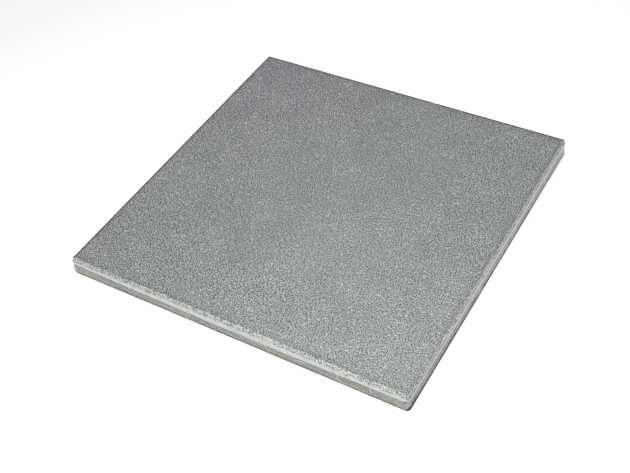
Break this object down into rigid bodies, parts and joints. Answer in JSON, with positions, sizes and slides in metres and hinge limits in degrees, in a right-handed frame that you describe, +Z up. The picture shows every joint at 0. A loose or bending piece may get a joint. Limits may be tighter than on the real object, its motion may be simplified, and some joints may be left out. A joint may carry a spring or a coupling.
{
  "type": "leatherworking slab",
  "caption": "Flat square slab with a speckled granite-look work face, steep softened top edges and a raw underside, laid on a bench as a hard base.",
  "frame": {"origin": "centre of the underside, on the bench", "axes": "+Z up, out of the work face; X and Y along the square's sides"},
  "size_m": [0.3, 0.3, 0.0174],
  "materials": {
    "raw_stoneware": "unglazed fired stoneware, matt olive beige",
    "pale_glaze": "smooth satin pale blue-grey glaze",
    "granite_effect_glaze": "satin glaze, fine grey granite speckle"
  },
  "bodies": {
    "root": {"stoneware_body": "raw_stoneware", "base_glaze": "pale_glaze", "speckled_glaze": "granite_effect_glaze"}
  },
  "joints": []
}
